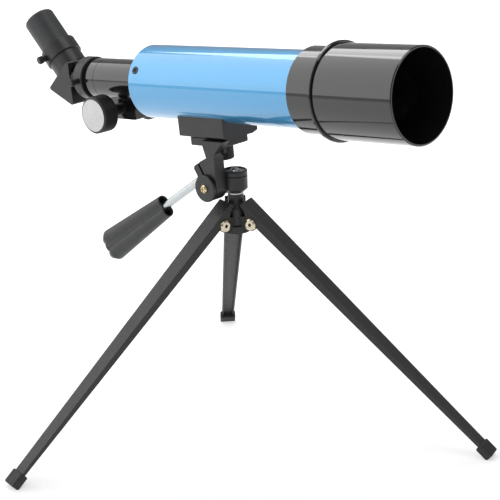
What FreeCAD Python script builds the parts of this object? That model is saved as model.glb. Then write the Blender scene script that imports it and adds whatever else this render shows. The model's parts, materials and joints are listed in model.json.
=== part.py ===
"""Small refracting telescope on a folding table tripod.

Lengths are in millimetres and angles in degrees. +Z is up and +X is the way
the telescope looks. The pan axis is vertical, and the origin ends up on the
ground under the middle of the whole object.
"""
import FreeCAD, Part
import math
import os

import Sketcher
from FreeCAD import Placement, Rotation, Vector

doc = FreeCAD.newDocument("telescope")
sheet = doc.addObject("Spreadsheet::Sheet", "dims")

ORIGIN = Vector(0, 0, 0)
UPRIGHT = Rotation()
ALONG_X = Rotation(Vector(0, 1, 0), 90)
ALONG_Y = Rotation(Vector(1, 0, 0), -90)
ALONG_MINUS_Y = Rotation(Vector(1, 0, 0), 90)


# ---------------------------------------------------------------- sizes
class Size:
    """A length or an angle: its number, and the sheet formula that gives it."""

    def __init__(self, number, formula):
        self.number = number
        self.formula = formula

    def __add__(self, other):
        return Size(self.number + value(other), f"({self.formula} + {formula(other)})")

    def __sub__(self, other):
        return Size(self.number - value(other), f"({self.formula} - {formula(other)})")

    def __mul__(self, other):
        return Size(self.number * value(other), f"({self.formula} * {formula(other)})")

    def __truediv__(self, other):
        return Size(self.number / value(other), f"({self.formula} / {formula(other)})")

    def __neg__(self):
        return Size(-self.number, f"(0 - {self.formula})")

    def __radd__(self, other):
        return Size(value(other) + self.number, f"({formula(other)} + {self.formula})")

    def __rsub__(self, other):
        return Size(value(other) - self.number, f"({formula(other)} - {self.formula})")

    def __rmul__(self, other):
        return self * other


def value(number):
    return number.number if isinstance(number, Size) else float(number)


def formula(number):
    return number.formula if isinstance(number, Size) else repr(float(number))


row_count = 0


def size(name, number):
    """Write one driving dimension into the sheet and return it as a Size."""
    global row_count
    row_count += 1
    sheet.set(f"A{row_count}", name)
    sheet.set(f"B{row_count}", str(number))
    sheet.setAlias(f"B{row_count}", name)
    return Size(float(number), f"dims.{name}")


# fits and clearances
running_gap = size("running_gap", 0.06)
slide_gap = size("slide_gap", 0.1)
free_gap = size("free_gap", 0.3)
past = size("past", 1.0)
edge_chamfer = size("edge_chamfer", 0.6)
fine_chamfer = size("fine_chamfer", 0.3)

# optical tube, its axis along the view, measured from the pan axis
tube_radius = size("tube_radius", 28.0)
tube_wall = size("tube_wall", 1.2)
tube_length = size("tube_length", 165.3)
tube_behind = size("tube_behind", 82.3)
tube_seat = size("tube_seat", 6.0)
tube_pitch = size("tube_pitch", 5.7)
cell_lip = size("cell_lip", 3.1)
cell_length = size("cell_length", 23.8)
cell_spigot = size("cell_spigot", 12.0)
shield_step = size("shield_step", 2.5)
shield_wall = size("shield_wall", 1.5)
shield_length = size("shield_length", 71.3)
bead_height = size("bead_height", 1.8)
bead_width = size("bead_width", 2.6)
lens_inset = size("lens_inset", 2.4)
lens_setback = size("lens_setback", 10.0)
lens_rim = size("lens_rim", 1.4)
crown_edge = size("crown_edge", 2.2)
crown_bulge = size("crown_bulge", 2.4)
crown_back = size("crown_back", 2.1)
lens_air = size("lens_air", 0.05)
flint_edge = size("flint_edge", 4.6)
retainer_length = size("retainer_length", 3.0)
retainer_wall = size("retainer_wall", 1.6)
baffle_inset = size("baffle_inset", 9.8)
baffle_at = size("baffle_at", 8.2)
baffle_thickness = size("baffle_thickness", 1.0)
tube_screw_radius = size("tube_screw_radius", 1.5)
tube_screw_head = size("tube_screw_head", 3.0)
tube_screw_cone = size("tube_screw_cone", 1.4)
tube_screw_proud = size("tube_screw_proud", 0.3)
tube_screw_length = size("tube_screw_length", 7.0)
tube_screw_inset = size("tube_screw_inset", 6.3)
tube_screw_turn = size("tube_screw_turn", 28)

# focuser; the eyepiece barrel's size sets what slides and fits round it
barrel_radius = size("barrel_radius", 12.25)
barrel_wall = size("barrel_wall", 1.1)
barrel_depth = size("barrel_depth", 20.0)
draw_wall = size("draw_wall", 1.15)
draw_gap_out = size("draw_gap_out", 3.8)
draw_inside = size("draw_inside", 62.0)
collar_wall = size("collar_wall", 3.5)
collar_length = size("collar_length", 10.0)
housing_wall = size("housing_wall", 2.4)
housing_length = size("housing_length", 55.4)
plug_depth = size("plug_depth", 12.0)
plug_proud = size("plug_proud", 0.8)
plug_wall = size("plug_wall", 2.0)
plug_floor = size("plug_floor", 2.4)
end_cap_length = size("end_cap_length", 9.7)
end_cap_chamfer = size("end_cap_chamfer", 1.2)
seam_gap = size("seam_gap", 0.35)
gear_module = size("gear_module", 0.6)
pinion_teeth = size("pinion_teeth", 18)
pinion_setback = size("pinion_setback", 38.7)
pinion_width = size("pinion_width", 5.0)
rack_width = size("rack_width", 5.0)
rack_depth = size("rack_depth", 3.3)
rack_teeth = size("rack_teeth", 31)
rack_teeth_ahead = size("rack_teeth_ahead", 19)
backlash = size("backlash", 0.12)
shaft_radius = size("shaft_radius", 2.0)
boss_radius = size("boss_radius", 4.5)
boss_half = size("boss_half", 19.5)
pinion_box_half = size("pinion_box_half", 8.0)
pinion_box_wall = size("pinion_box_wall", 1.8)
pinion_box_ahead = size("pinion_box_ahead", 20.0)
pinion_box_chamfer = size("pinion_box_chamfer", 0.5)
cover_half = size("cover_half", 6.2)
cover_lap = size("cover_lap", 0.6)
cover_ahead = size("cover_ahead", 17.0)
cover_thickness = size("cover_thickness", 1.0)
cover_screw_spread = size("cover_screw_spread", 4.0)
cover_screw_ahead = size("cover_screw_ahead", 12.0)
cover_screw_radius = size("cover_screw_radius", 0.9)
cover_screw_head = size("cover_screw_head", 1.7)
cover_screw_rise = size("cover_screw_rise", 0.9)
cover_screw_depth = size("cover_screw_depth", 4.0)
knob_gap = size("knob_gap", 1.0)
knob_radius = size("knob_radius", 14.5)
knob_width = size("knob_width", 13.0)
knob_bore = size("knob_bore", 10.4)
knob_groove = size("knob_groove", 0.42)
knob_rim = size("knob_rim", 2.4)
knob_hub = size("knob_hub", 10.5)
knob_hollow = size("knob_hollow", 2.4)
knob_cap_radius = size("knob_cap_radius", 13.4)
knob_cap_seat = size("knob_cap_seat", 1.0)
knob_cap_thickness = size("knob_cap_thickness", 1.6)
thumb_radius = size("thumb_radius", 3.1)
thumb_length = size("thumb_length", 4.4)
thumb_groove = size("thumb_groove", 0.35)
thumb_shank = size("thumb_shank", 1.5)
thumb_stand = size("thumb_stand", 3.0)
thumb_flange = size("thumb_flange", 2.6)
thumb_flange_length = size("thumb_flange_length", 0.9)
thumb_tip_gap = size("thumb_tip_gap", 0.1)

# diagonal and eyepiece; the eyepiece leans back from the tube's rear axis
eyepiece_lean = size("eyepiece_lean", 49.5)
diagonal_side = size("diagonal_side", 0.2)
diagonal_setback = size("diagonal_setback", 7.2)
diagonal_top = size("diagonal_top", 17.0)
diagonal_bottom = size("diagonal_bottom", 21.0)
diagonal_depth = size("diagonal_depth", 27.5)
diagonal_heel = size("diagonal_heel", 9.0)
diagonal_heel_inset = size("diagonal_heel_inset", 2.0)
diagonal_wall = size("diagonal_wall", 1.6)
diagonal_fillet = size("diagonal_fillet", 1.6)
diagonal_cover_thickness = size("diagonal_cover_thickness", 3.0)
diagonal_groove = size("diagonal_groove", 0.8)
prism_margin = size("prism_margin", 2.6)
eyepiece_back = size("eyepiece_back", 6.8)
holder_wall = size("holder_wall", 1.45)
holder_start = size("holder_start", 7.9)
holder_step = size("holder_step", 1.4)
holder_collar_start = size("holder_collar_start", 20.0)
holder_end = size("holder_end", 31.6)
holder_screw_stand = size("holder_screw_stand", 2.2)
holder_screw_turn = size("holder_screw_turn", 15.0)
eyepiece_step = size("eyepiece_step", 0.45)
eyepiece_end = size("eyepiece_end", 62.0)
eyepiece_insert = size("eyepiece_insert", 14.0)
eyepiece_joint = size("eyepiece_joint", 6.0)
eye_rim = size("eye_rim", 2.0)
eye_cup_step = size("eye_cup_step", 3.0)
eye_lens_radius = size("eye_lens_radius", 5.0)
eye_lens_edge = size("eye_lens_edge", 2.0)
eye_lens_bulge = size("eye_lens_bulge", 0.7)
eye_relief_depth = size("eye_relief_depth", 3.0)
eye_bore = size("eye_bore", 4.0)
field_lens_edge = size("field_lens_edge", 1.6)
field_lens_bulge = size("field_lens_bulge", 1.4)

# saddle block and camera platform
saddle_length = size("saddle_length", 46.8)
saddle_half = size("saddle_half", 18.0)
saddle_drop = size("saddle_drop", 10.0)
saddle_wing = size("saddle_wing", 1.6)
saddle_cheek = size("saddle_cheek", 8.4)
saddle_centre = size("saddle_centre", 19.1)
saddle_fillet = size("saddle_fillet", 0.7)
saddle_screw_radius = size("saddle_screw_radius", 1.6)
saddle_screw_spread = size("saddle_screw_spread", 16.0)
saddle_screw_head = size("saddle_screw_head", 3.4)
saddle_screw_rise = size("saddle_screw_rise", 1.8)
saddle_screw_depth = size("saddle_screw_depth", 6.4)
insert_wall = size("insert_wall", 1.8)
insert_length = size("insert_length", 7.4)
camera_thread = size("camera_thread", 3.175)
camera_behind = size("camera_behind", 1.0)
camera_screw_spare = size("camera_screw_spare", 1.2)
camera_collar = size("camera_collar", 5.0)
platform_length = size("platform_length", 36.0)
platform_half = size("platform_half", 13.0)
platform_behind = size("platform_behind", 2.1)
platform_thickness = size("platform_thickness", 6.5)
platform_fillet = size("platform_fillet", 1.5)
camera_wheel_radius = size("camera_wheel_radius", 9.2)
camera_wheel_height = size("camera_wheel_height", 9.8)
camera_wheel_groove = size("camera_wheel_groove", 0.5)
camera_wheel_gap = size("camera_wheel_gap", 2.0)

# tilt arm and handle, seen from the side about the tilt axis
arm_thickness = size("arm_thickness", 8.0)
arm_drop = size("arm_drop", 30.0)
arm_top_front = size("arm_top_front", 21.0)
arm_top_behind = size("arm_top_behind", 1.3)
arm_neck_front = size("arm_neck_front", 10.4)
arm_neck_rear = size("arm_neck_rear", 2.3)
arm_neck_drop = size("arm_neck_drop", 7.0)
arm_top_lip = size("arm_top_lip", 1.4)
arm_gusset = size("arm_gusset", 8.2)
arm_trim_drop = size("arm_trim_drop", 6.0)
arm_web_length = size("arm_web_length", 16.0)
arm_web_drop = size("arm_web_drop", 4.0)
arm_web_lap = size("arm_web_lap", 3.0)
arm_gap = size("arm_gap", 0.4)
clamp_thickness = size("clamp_thickness", 10.2)
clamp_radius = size("clamp_radius", 10.0)
clamp_ear_back = size("clamp_ear_back", 3.5)
clamp_ear_front = size("clamp_ear_front", 6.0)
clamp_ear_low = size("clamp_ear_low", 2.7)
clamp_ear_rise = size("clamp_ear_rise", 10.3)
clamp_ear_chamfer = size("clamp_ear_chamfer", 1.6)
slot_width = size("slot_width", 1.9)
slot_ahead = size("slot_ahead", 3.2)
slot_low = size("slot_low", 2.0)
handle_slope = size("handle_slope", 29.5)
handle_offset = size("handle_offset", 9.3)
rod_radius = size("rod_radius", 3.1)
rod_thread = size("rod_thread", 2.5)
rod_start = size("rod_start", 4.2)
rod_tip = size("rod_tip", 13.6)
rod_in_grip = size("rod_in_grip", 54.0)
grip_start = size("grip_start", 57.0)
grip_length = size("grip_length", 84.0)
grip_front_lobe = size("grip_front_lobe", 4.9)
grip_rear_lobe = size("grip_rear_lobe", 7.3)
grip_front_spread = size("grip_front_spread", 4.0)
grip_rear_spread = size("grip_rear_spread", 6.0)
grip_end = size("grip_end", 6.0)
grip_end_step = size("grip_end_step", 3.2)
grip_waist = size("grip_waist", 0.8)
grip_wall = size("grip_wall", 1.4)
grip_hollow = size("grip_hollow", 14.0)

# pan post, stacked up from the tripod's hinges, and the tilt barrel beside it
neck_radius = size("neck_radius", 6.0)
neck_rise = size("neck_rise", 21.1)
post_radius = size("post_radius", 9.4)
post_cone = size("post_cone", 3.0)
post_height = size("post_height", 14.2)
post_groove = size("post_groove", 0.5)
post_groove_drop = size("post_groove_drop", 4.0)
washer_thickness = size("washer_thickness", 0.8)
pan_bolt_radius = size("pan_bolt_radius", 2.4)
pan_bolt_reach = size("pan_bolt_reach", 21.6)
pan_bolt_head = size("pan_bolt_head", 3.4)
pan_bolt_rise = size("pan_bolt_rise", 1.9)
pan_cap_radius = size("pan_cap_radius", 7.2)
pan_cap_depth = size("pan_cap_depth", 1.8)
pan_cap_thickness = size("pan_cap_thickness", 1.0)
tilt_behind = size("tilt_behind", 9.8)
tilt_rise = size("tilt_rise", 2.5)
tilt_barrel_radius = size("tilt_barrel_radius", 8.0)
tilt_stub_radius = size("tilt_stub_radius", 5.6)
tilt_cap_radius = size("tilt_cap_radius", 10.3)
tilt_cap_thickness = size("tilt_cap_thickness", 2.6)
tilt_screw_radius = size("tilt_screw_radius", 1.7)
tilt_screw_depth = size("tilt_screw_depth", 8.7)
tilt_screw_head = size("tilt_screw_head", 3.15)
tilt_screw_rise = size("tilt_screw_rise", 1.9)
cross_width = size("cross_width", 0.8)
cross_length = size("cross_length", 3.6)
cross_depth = size("cross_depth", 1.0)

# tripod
leg_turn = size("leg_turn", 18.0)
leg_slope = size("leg_slope", 41.8)
hinge_radius = size("hinge_radius", 15.5)
hinge_height = size("hinge_height", 163.5)
leg_length = size("leg_length", 240.5)
leg_heel = size("leg_heel", 15.4)
leg_heel_lip = size("leg_heel_lip", 3.2)
leg_heel_run = size("leg_heel_run", 5.0)
leg_web = size("leg_web", 7.8)
leg_sheet = size("leg_sheet", 1.2)
leg_half_top = size("leg_half_top", 7.7)
leg_half_foot = size("leg_half_foot", 5.1)
leg_depth_top = size("leg_depth_top", 6.9)
leg_depth_foot = size("leg_depth_foot", 2.8)
leg_ear = size("leg_ear", 5.2)
hub_core = size("hub_core", 8.4)
hub_drop = size("hub_drop", 8.5)
hub_rise = size("hub_rise", 10.0)
hub_shoulder = size("hub_shoulder", 4.5)
hub_plate = size("hub_plate", 10.2)
hub_plate_thickness = size("hub_plate_thickness", 5.4)
hub_lug_step = size("hub_lug_step", 0.4)
rivet_radius = size("rivet_radius", 2.0)
rivet_bore = size("rivet_bore", 1.3)
rivet_head = size("rivet_head", 4.8)
rivet_head_height = size("rivet_head_height", 1.9)
rivet_curl = size("rivet_curl", 0.4)
rivet_face = size("rivet_face", 1.6)
foot_reach = size("foot_reach", 5.5)
foot_cover = size("foot_cover", 6.0)
foot_rubber = size("foot_rubber", 1.5)
foot_fillet = size("foot_fillet", 1.2)
foot_flat = size("foot_flat", 0.7)

# sizes that follow from the ones above
lens_radius = tube_radius - lens_inset
draw_radius = barrel_radius + slide_gap + draw_wall
collar_radius = draw_radius + collar_wall
bore_radius = draw_radius + slide_gap
housing_radius = bore_radius + housing_wall
holder_radius = barrel_radius + slide_gap + holder_wall
holder_collar = holder_radius + holder_step
eyepiece_radius = barrel_radius + eyepiece_step
diagonal_half = holder_radius + diagonal_side
insert_radius = camera_thread + running_gap + insert_wall
hub_bottom = hinge_height - hub_drop
neck_top = hinge_height + neck_rise
post_low = neck_top + washer_thickness + slide_gap
post_bottom = post_low + post_cone
post_top = post_bottom + post_height
tilt_height = post_bottom + tilt_rise
clamp_inner = post_radius + arm_gap
arm_outer = clamp_inner + clamp_thickness

doc.recompute()


# ---------------------------------------------------------------- makers
def bind(item, name, amount):
    """Set a property to a number or to a Size, which stays tied to the sheet."""
    setattr(item, name, value(amount))
    if isinstance(amount, Size):
        item.setExpression(name, amount.formula)


def put(item, x=0.0, y=0.0, z=0.0, rotation=UPRIGHT):
    """Place a piece of a sub-part, with its position tied to the sheet."""
    item.Placement = Placement(Vector(value(x), value(y), value(z)), rotation)
    for axis, amount in zip("xyz", (x, y, z)):
        if isinstance(amount, Size):
            item.setExpression(f"Placement.Base.{axis}", amount.formula)
    return item


def cylinder(radius, height):
    item = doc.addObject("Part::Cylinder", "cylinder")
    bind(item, "Radius", radius)
    bind(item, "Height", height)
    return item


def cone(radius_low, radius_high, height):
    item = doc.addObject("Part::Cone", "cone")
    bind(item, "Radius1", radius_low)
    bind(item, "Radius2", radius_high)
    bind(item, "Height", height)
    return item


def box(length, width, height):
    item = doc.addObject("Part::Box", "box")
    bind(item, "Length", length)
    bind(item, "Width", width)
    bind(item, "Height", height)
    return item


def fuse(*items):
    joined = doc.addObject("Part::MultiFuse", "fuse")
    joined.Shapes = list(items)
    joined.Refine = True
    return joined


def cut(base, *tools):
    rest = doc.addObject("Part::Cut", "cut")
    rest.Base = base
    rest.Tool = tools[0] if len(tools) == 1 else fuse(*tools)
    rest.Refine = True
    return rest


def plane_of(body, role):
    for feature in body.Origin.OriginFeatures:
        if feature.Role == role:
            return feature
    raise RuntimeError(f"no plane {role}")


def outline_sketch(body, role, points):
    """A closed outline of straight lines whose corners are tied to the sheet.

    Corners are pairs of sizes, none below zero; a plain 0 lies on an axis.
    """
    sketch = body.newObject("Sketcher::SketchObject", "outline")
    sketch.AttachmentSupport = [(plane_of(body, role), "")]
    sketch.MapMode = "FlatFace"
    corners = [Vector(value(x), value(y), 0) for x, y in points]
    for index, corner in enumerate(corners):
        following = corners[(index + 1) % len(corners)]
        sketch.addGeometry(Part.LineSegment(corner, following), False)
    for index in range(len(corners)):
        following = (index + 1) % len(corners)
        sketch.addConstraint(Sketcher.Constraint("Coincident", index, 2, following, 1))
    horizontal_axis, vertical_axis, root = -1, -2, 1
    for index, (x, y) in enumerate(points):
        for kind, amount, axis in (("DistanceX", x, vertical_axis), ("DistanceY", y, horizontal_axis)):
            if not isinstance(amount, Size) and amount == 0:
                sketch.addConstraint(Sketcher.Constraint("PointOnObject", index, 1, axis))
                continue
            number = sketch.addConstraint(
                Sketcher.Constraint(kind, -1, root, index, 1, value(amount)))
            if isinstance(amount, Size):
                sketch.setExpression(f"Constraints[{number}]", amount.formula)
    return sketch


def turned(*points):
    """A body turned about its own Z axis; points are (radius, height)."""
    body = doc.addObject("PartDesign::Body", "turned")
    sketch = outline_sketch(body, "XZ_Plane", points)
    revolution = body.newObject("PartDesign::Revolution", "revolution")
    revolution.Profile = sketch
    revolution.ReferenceAxis = (sketch, ["V_Axis"])
    revolution.Angle = 360
    body.Tip = revolution
    return body


def plate(role, thickness, points, midplane=False):
    """A body padded from a straight-edged outline on one of its planes."""
    body = doc.addObject("PartDesign::Body", "plate")
    sketch = outline_sketch(body, role, points)
    pad = body.newObject("PartDesign::Pad", "pad")
    pad.Profile = sketch
    bind(pad, "Length", thickness)
    pad.SideType = "Symmetric" if midplane else "One side"
    body.Tip = pad
    return body


def ring(outer, inner, length, chamfer=0.0):
    """A turned ring with small chamfers on its outer edges."""
    if value(chamfer) == 0:
        return turned((inner, 0), (outer, 0), (outer, length), (inner, length))
    return turned((inner, 0), (outer - chamfer, 0), (outer, chamfer), (outer, length - chamfer),
                  (outer - chamfer, length), (inner, length))


def rod(radius, length, chamfer):
    return turned((0, 0), (radius - chamfer, 0), (radius, chamfer), (radius, length - chamfer),
                  (radius - chamfer, length), (0, length))


def shaped(shape):
    item = doc.addObject("Part::Feature", "shaped")
    item.Shape = shape
    return item


parts = []


def finish(item, label, placement):
    """Name a sub-part and put it in its place on the object."""
    item.Label = label
    item.Placement = placement
    parts.append(item)
    return item


# ---------------------------------------------------------------- frames
saddle_base = tube_radius + saddle_drop
tilt_below = saddle_base + platform_thickness + arm_drop
tilt_ahead = saddle_centre - platform_behind

tilt_frame = Placement(
    Vector(-value(tilt_behind), 0, value(tilt_height)),
    Rotation(Vector(0, -1, 0), value(tube_pitch)))
tube_frame = tilt_frame * Placement(Vector(value(tilt_ahead), 0, value(tilt_below)), UPRIGHT)

tube_rear = -tube_behind
tube_front = tube_length - tube_behind
cap_rear = tube_rear - housing_length - end_cap_length
collar_rear = cap_rear - draw_gap_out - collar_length


def on_tube(x, y=0.0, z=0.0, rotation=ALONG_X):
    return tube_frame * Placement(Vector(value(x), value(y), value(z)), rotation)


def on_tilt(x, y=0.0, z=0.0, rotation=UPRIGHT):
    return tilt_frame * Placement(Vector(value(x), value(y), value(z)), rotation)


def on_post(x, y=0.0, z=0.0, rotation=UPRIGHT):
    return Placement(Vector(value(x), value(y), value(z)), rotation)


def straight_edges(shape, axis):
    """The straight edges of a shape that run along one axis."""
    chosen = []
    for edge in shape.Edges:
        if len(edge.Vertexes) < 2 or not isinstance(edge.Curve, (Part.Line, Part.LineSegment)):
            continue
        run = edge.Vertexes[1].Point - edge.Vertexes[0].Point
        if run.cross(axis).Length < 1e-6 * run.Length:
            chosen.append(edge)
    return chosen


def prism_between(corners, low, high):
    """A solid whose side view, in the XZ plane, has these corners, from y = low to y = high."""
    outline = [Vector(value(x), value(low), value(z)) for x, z in corners]
    face = Part.Face(Part.makePolygon(outline + outline[:1]))
    return face.extrude(Vector(0, value(high) - value(low), 0))


def knurled(radius, length, depth, count, bore=0.0):
    """A knob with straight V grooves all round, on a chamfered turned blank."""
    blank = turned(
        (bore, 0), (radius - edge_chamfer, 0), (radius, edge_chamfer), (radius, length - edge_chamfer),
        (radius - edge_chamfer, length), (bore, length))
    groove = doc.addObject("Part::Prism", "groove")
    groove.Polygon = 4
    bind(groove, "Circumradius", depth)
    bind(groove, "Height", length + past * 2)
    put(groove, radius, 0, -past)
    doc.recompute()
    grooves = []
    for index in range(count):
        copy = groove.Shape.copy()
        copy.rotate(ORIGIN, Vector(0, 0, 1), 360.0 * index / count)
        grooves.append(copy)
    return shaped(blank.Shape.cut(Part.makeCompound(grooves)))


def cross_recess(top):
    """The cross in a screw's head, cut down from a height on its Z axis."""
    low = top - cross_depth
    one = put(box(cross_length, cross_width, cross_depth + past), -cross_length * 0.5, -cross_width * 0.5, low)
    two = put(box(cross_width, cross_length, cross_depth + past), -cross_width * 0.5, -cross_length * 0.5, low)
    return fuse(one, two)


# ---------------------------------------------------------------- optical tube
def build_optical_tube():
    tube = ring(tube_radius, tube_radius - tube_wall, tube_length + tube_seat)
    clear_radius = tube_screw_radius + slide_gap
    sink_low = tube_radius + tube_screw_proud - tube_screw_cone
    holes = []
    for index in range(3):
        direction = around_tube(index)
        hole = cylinder(clear_radius, tube_radius)
        holes.append(put_radial(hole, direction, tube_radius * 0.5, tube_screw_inset))
        sink = cone(clear_radius, tube_screw_head + slide_gap, tube_screw_cone)
        holes.append(put_radial(sink, direction, sink_low, tube_screw_inset))
    for sign in (-1, 1):
        hole = cylinder(saddle_screw_radius + slide_gap, tube_wall + past * 2)
        put(hole, tube_radius - tube_wall - past, 0,
            tube_behind - saddle_centre + sign * saddle_screw_spread, ALONG_X)
        holes.append(hole)
    finish(cut(tube, *holes), "optical_tube", on_tube(tube_rear))


def build_lens_cell():
    outer = tube_radius + cell_lip
    bore = lens_radius + slide_gap
    lens_seat = cell_length - lens_setback
    spigot = outer + shield_step - shield_wall - slide_gap
    total = cell_length + cell_spigot
    cell = turned(
        (tube_radius, 0), (outer - edge_chamfer, 0), (outer, edge_chamfer), (outer, cell_length),
        (spigot, cell_length), (spigot, total), (bore, total), (bore, lens_seat),
        (bore - lens_rim, lens_seat), (bore - lens_rim, tube_seat), (tube_radius, tube_seat))
    finish(cell, "lens_cell", on_tube(tube_front))

    lens_at = tube_front + lens_seat
    flint = shaped(lens_shape(lens_radius, flint_edge, 0.0, -crown_back))
    finish(flint, "objective_flint", on_tube(lens_at))
    crown_at = lens_at + flint_edge + lens_air
    crown = shaped(lens_shape(lens_radius, crown_edge, -crown_back, crown_bulge))
    finish(crown, "objective_crown", on_tube(crown_at))
    # the retainer's inner edge rests on the crown's curved front
    inner = bore - retainer_wall
    ball = (lens_radius * lens_radius + crown_bulge * crown_bulge) / (crown_bulge * 2)
    rise = value(crown_bulge) - value(ball) + math.sqrt(value(ball) ** 2 - value(inner) ** 2)
    retainer = ring(bore, inner, retainer_length, fine_chamfer)
    finish(retainer, "lens_retainer", on_tube(crown_at + crown_edge + rise + lens_air))


def lens_shape(radius, edge, low, high):
    """A lens turned about Z with its lower edge at z = 0.

    low and high are how far the middles of the two faces stand above their own edges.
    """
    radius, edge, low, high = value(radius), value(edge), value(low), value(high)

    def face(height, rise):
        middle = Vector(0, 0, height + rise)
        rim = Vector(radius, 0, height)
        if rise == 0:
            return Part.LineSegment(middle, rim).toShape()
        ball = (radius * radius + rise * rise) / (2 * rise)
        half_turn = math.asin(radius / ball) / 2
        between = Vector(ball * math.sin(half_turn), 0, middle.z - ball * (1 - math.cos(half_turn)))
        return Part.Arc(middle, between, rim).toShape()

    axis = Part.LineSegment(Vector(0, 0, low), Vector(0, 0, edge + high)).toShape()
    side = Part.LineSegment(Vector(radius, 0, 0), Vector(radius, 0, edge)).toShape()
    wire = Part.Wire(Part.__sortEdges__([axis, face(edge, high), side, face(0.0, low)]))
    return Part.Face(wire).revolve(ORIGIN, Vector(0, 0, 1), 360)


def build_dew_shield():
    outer = tube_radius + cell_lip + shield_step
    inner = outer - shield_wall
    bead = outer + bead_height
    shield = turned(
        (inner, 0), (bead - edge_chamfer, 0), (bead, edge_chamfer), (bead, bead_width - edge_chamfer),
        (bead - edge_chamfer, bead_width), (outer, bead_width), (outer, shield_length - edge_chamfer),
        (outer - edge_chamfer, shield_length), (inner, shield_length))
    finish(shield, "dew_shield", on_tube(tube_front + cell_length))


def build_baffle():
    outer = tube_radius - tube_wall
    finish(ring(outer, outer - baffle_inset, baffle_thickness), "tube_baffle", on_tube(baffle_at))


# ---------------------------------------------------------------- focuser
pinion_at = tube_rear - pinion_setback
pitch_radius = gear_module * pinion_teeth * 0.5
rack_line = draw_radius + rack_depth
pinion_drop = rack_line + pitch_radius
pocket_radius = pitch_radius + gear_module + free_gap * 2
cover_behind = pocket_radius + cover_lap
pinion_box_behind = pocket_radius + pinion_box_wall
pinion_box_drop = pinion_drop + pocket_radius + slide_gap + cover_thickness
channel_half = rack_width * 0.5 + free_gap
channel_drop = rack_line + gear_module + free_gap


def around_tube(index):
    """The outward direction of one of three screws round the tube, turned up from its -Y side."""
    angle = math.radians(value(tube_screw_turn) + 120 * index)
    return Vector(-math.sin(angle), -math.cos(angle), 0)


def put_radial(item, direction, reach, height):
    """Stand a screw or a hole on a direction square to Z, starting reach away from the Z axis."""
    item.Placement = Placement(direction * value(reach) + Vector(0, 0, value(height)),
                               Rotation(Vector(0, 0, 1), direction))
    for axis, share in zip("xy", (direction.x, direction.y)):
        item.setExpression(f"Placement.Base.{axis}", (reach * share).formula)
    item.setExpression("Placement.Base.z", height.formula)
    return item


def build_focuser_housing():
    length = housing_length
    plug = tube_radius - tube_wall
    plug_end = length + plug_depth
    flange = length - plug_proud
    hollow_start = length + plug_floor
    base = turned(
        (0, 0), (housing_radius, 0), (housing_radius, flange), (plug, flange), (plug, plug_end),
        (plug - plug_wall, plug_end), (plug - plug_wall, hollow_start), (housing_radius, hollow_start),
        (housing_radius, plug_end), (0, plug_end))
    # the pinion box hangs below the barrel: local X points down once the piece is in place
    pinion_height = length - pinion_setback
    low = pinion_height - pinion_box_behind
    high = pinion_height + pinion_box_ahead
    slope = pinion_box_chamfer
    pinion_box = plate("XZ_Plane", pinion_box_half * 2, [
        (0, low), (pinion_box_drop - slope, low), (pinion_box_drop, low + slope),
        (pinion_box_drop, high - slope), (pinion_box_drop - slope, high), (0, high)], True)
    boss = cylinder(boss_radius, boss_half * 2)
    put(boss, pinion_drop, -boss_half, pinion_height, ALONG_Y)

    bore = cylinder(bore_radius, plug_end + past * 2)
    put(bore, 0, 0, -past)
    channel = box(channel_drop, channel_half * 2, plug_end + past * 2)
    put(channel, 0, -channel_half, -past)
    pocket_half = pinion_width * 0.5 + free_gap
    pocket = cylinder(pocket_radius, pocket_half * 2)
    put(pocket, pinion_drop, -pocket_half, pinion_height, ALONG_Y)
    way_in = box(pinion_box_drop - pinion_drop + past, pocket_half * 2, pocket_radius * 2)
    put(way_in, pinion_drop, -pocket_half, pinion_height - pocket_radius)
    shaft_bore = cylinder(shaft_radius + running_gap, (boss_half + past) * 2)
    put(shaft_bore, pinion_drop, -boss_half - past, pinion_height, ALONG_Y)
    recess_half = cover_half + slide_gap
    recess = box(cover_thickness + past, recess_half * 2, cover_behind + cover_ahead + slide_gap * 2)
    put(recess, pinion_box_drop - cover_thickness, -recess_half, pinion_height - cover_behind - slide_gap)
    holes = []
    for sign in (-1, 1):
        depth = cover_screw_depth + free_gap
        hole = cylinder(cover_screw_radius, depth)
        holes.append(put(hole, pinion_box_drop - cover_thickness - depth, sign * cover_screw_spread,
                         pinion_height + cover_screw_ahead, ALONG_X))
    for index in range(3):
        hole = cylinder(tube_screw_radius, tube_screw_length)
        holes.append(put_radial(hole, around_tube(index), tube_radius - tube_screw_length,
                                length + tube_screw_inset))
    housing = cut(fuse(base, pinion_box, boss), bore, channel, pocket, way_in, shaft_bore, recess, *holes)
    finish(housing, "focuser_housing", on_tube(tube_rear - length))


def build_pinion_cover():
    place = on_tube(pinion_at, 0, -(pinion_box_drop - cover_thickness))
    cover = box(cover_thickness, cover_half * 2, cover_behind + cover_ahead)
    put(cover, 0, -cover_half, -cover_behind)
    holes = []
    screws = []
    for sign in (-1, 1):
        across = sign * cover_screw_spread
        hole = cylinder(cover_screw_radius + slide_gap, cover_thickness + past * 2)
        holes.append(put(hole, -past, across, cover_screw_ahead, ALONG_X))
        shank = cylinder(cover_screw_radius, cover_screw_depth + cover_thickness)
        head = cylinder(cover_screw_head, cover_screw_rise)
        screws.append(fuse(put(shank, -cover_screw_depth, across, cover_screw_ahead, ALONG_X),
                           put(head, cover_thickness, across, cover_screw_ahead, ALONG_X)))
    finish(cut(cover, *holes), "pinion_cover", place)
    joined = doc.addObject("Part::Compound", "pinion_cover_screws")
    joined.Links = screws
    finish(joined, "pinion_cover_screws", place)


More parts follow.
